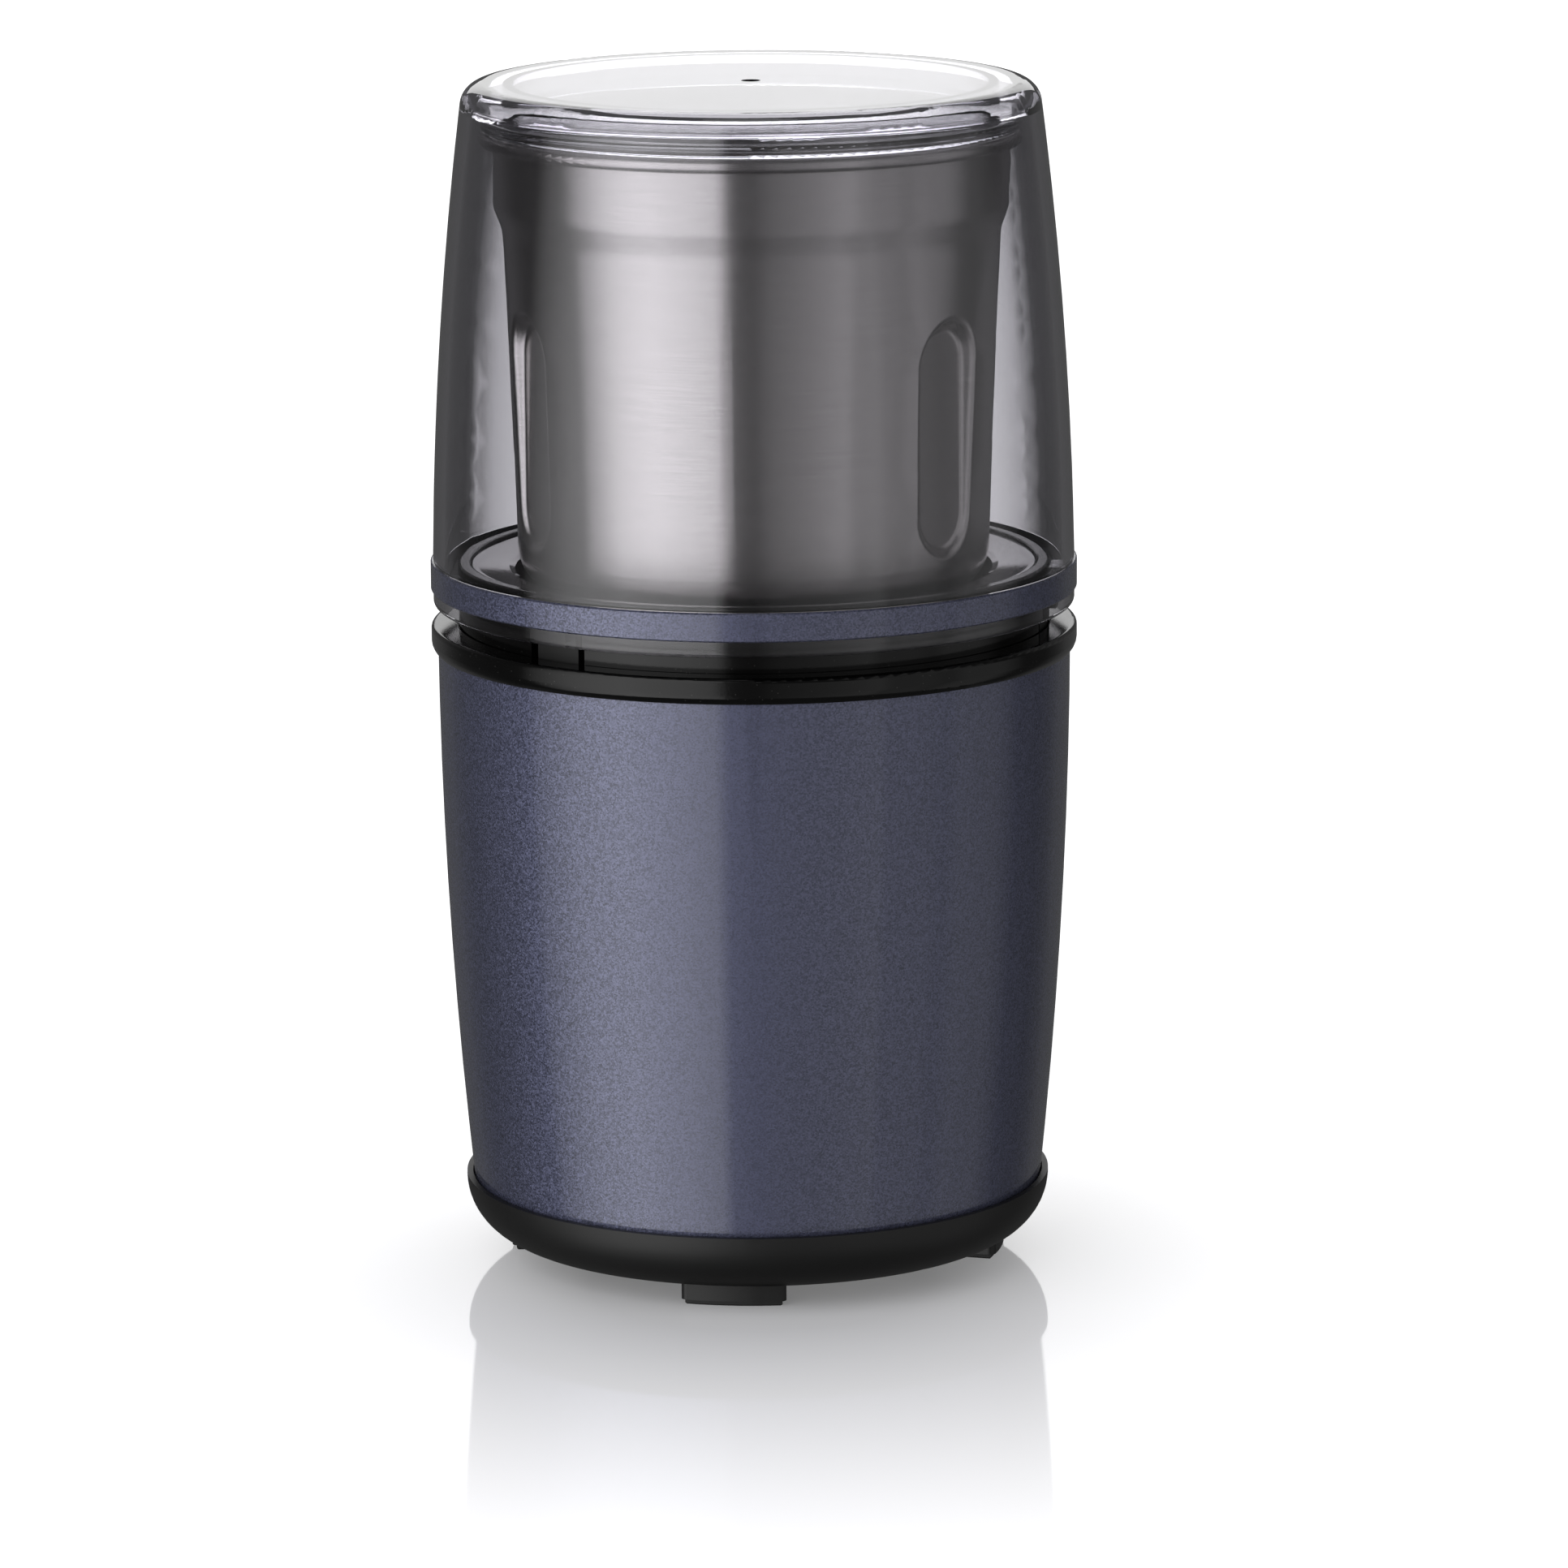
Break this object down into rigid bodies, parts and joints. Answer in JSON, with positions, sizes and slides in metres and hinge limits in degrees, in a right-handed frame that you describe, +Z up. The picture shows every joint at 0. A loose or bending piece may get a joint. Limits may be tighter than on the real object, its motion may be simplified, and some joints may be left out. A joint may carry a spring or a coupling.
{
  "type": "electric spice grinder",
  "caption": "Press-down electric spice grinder: clear smoke lid over a lift-out steel bowl with a blade, on a tapered round body that holds a vertical motor.",
  "frame": {"origin": "on the floor under the centre of the barrel, at the underside of the foot pads", "axes": "+Z up along the motor shaft; the front faces -Y and the cord inlet +Y"},
  "size_m": [0.115, 0.115, 0.2111],
  "materials": {
    "satin_black_abs": "moulded satin black ABS",
    "black_rubber": "soft black rubber",
    "zinc_steel": "zinc-plated steel",
    "gloss_black_abs": "moulded gloss black ABS",
    "blue_paint": "midnight blue metallic paint on moulded ABS",
    "polished_stainless": "polished stainless steel",
    "brushed_stainless": "stainless steel brushed round the axis",
    "blade_steel": "ground stainless steel",
    "ground_steel": "ground steel",
    "black_nylon": "glass-filled black nylon",
    "cream_plastic": "cream moulded plastic",
    "die_cast_aluminium": "die-cast aluminium",
    "lamination_steel": "stacked steel laminations",
    "enamelled_copper": "enamelled copper wire",
    "copper": "bare copper bars",
    "carbon": "pressed carbon",
    "cutout_casing": "moulded black casing",
    "bronze": "sintered bronze",
    "red_fibre": "red vulcanised fibre",
    "clear_silicone": "clear silicone rubber",
    "smoke_clear_plastic": "clear smoke-tinted plastic, polished"
  },
  "bodies": {
    "root": {"base_cup": "satin_black_abs", "foot_pads": "black_rubber", "base_screws": "zinc_steel", "cord_gland": "black_rubber", "terminal_block": "cream_plastic", "body_shell": "blue_paint", "collar": "gloss_black_abs", "deck_housing": "gloss_black_abs", "deck_dish": "polished_stainless", "motor_carrier": "black_nylon", "carrier_screws": "zinc_steel", "motor_screws": "zinc_steel", "rubber_mounts": "black_rubber", "return_springs": "zinc_steel", "switch_case": "cream_plastic", "upper_bracket": "die_cast_aluminium", "lower_bracket": "die_cast_aluminium", "upper_bearing": "ground_steel", "lower_bearing": "ground_steel", "stator_core": "lamination_steel", "field_coils": "enamelled_copper", "stator_bolts": "zinc_steel", "brush_holders": "black_nylon", "carbon_brushes": "carbon", "brush_caps": "black_nylon", "brush_springs": "zinc_steel", "thermal_cutout": "cutout_casing"},
    "rotor": {"motor_shaft": "ground_steel", "armature_core": "lamination_steel", "armature_windings": "enamelled_copper", "commutator": "copper", "cooling_fan": "cream_plastic", "drive_coupling": "black_nylon"},
    "press_ring": {"press_ring": "black_nylon"},
    "switch_plunger": {"switch_plunger": "cream_plastic"},
    "bowl_hub": {"blade_bush": "bronze", "hub_washer": "red_fibre", "hub_nut": "zinc_steel"},
    "bowl": {"bowl_shell": "brushed_stainless", "bowl_base_ring": "black_nylon", "ring_screws": "zinc_steel"},
    "blade": {"blade_shaft": "ground_steel", "driven_coupling": "black_nylon", "cutting_blade": "blade_steel", "blade_spacer": "zinc_steel", "cap_nut": "polished_stainless"},
    "lid_seal": {"lid_seal": "clear_silicone"},
    "lid": {"lid_cover": "smoke_clear_plastic", "lid_band": "blue_paint"}
  },
  "joints": [
    {"name": "lid_press", "type": "slide", "parent": "lid_seal", "child": "lid", "axis": [0, 0, 1], "range_m": [-0.003, 0], "stiffness_N_per_m": 1500, "springref_m": 0.004, "deforming": ["return_springs"]},
    {"name": "ring_press", "type": "slide", "parent": "root", "child": "press_ring", "axis": [0, 0, 1], "range_m": [-0.003, 0]},
    {"name": "switch_press", "type": "slide", "parent": "root", "child": "switch_plunger", "axis": [0, 0, 1], "range_m": [-0.003, 0]},
    {"name": "lid_lift", "type": "slide", "parent": "bowl_hub", "child": "lid_seal", "axis": [0, 0, 1], "range_m": [0, 0.12]},
    {"name": "bowl_lift", "type": "slide", "parent": "root", "child": "bowl_hub", "axis": [0, 0, 1], "range_m": [0, 0.045]},
    {"name": "bowl_twist", "type": "hinge", "parent": "bowl_hub", "child": "bowl", "pos_m": [0, 0, 0.12], "axis": [0, 0, -1], "range_deg": [0, 30]},
    {"name": "motor_spin", "type": "hinge", "parent": "root", "child": "rotor", "pos_m": [0, 0, 0.06], "axis": [0, 0, 1], "continuous": true},
    {"name": "blade_spin", "type": "hinge", "parent": "bowl_hub", "child": "blade", "pos_m": [0, 0, 0.12], "axis": [0, 0, 1], "continuous": true}
  ],
  "couplings": [
    {"joint": "ring_press", "follows": "lid_press", "ratio": 1},
    {"joint": "switch_press", "follows": "lid_press", "ratio": 1},
    {"joint": "blade_spin", "follows": "motor_spin", "ratio": 1}
  ]
}
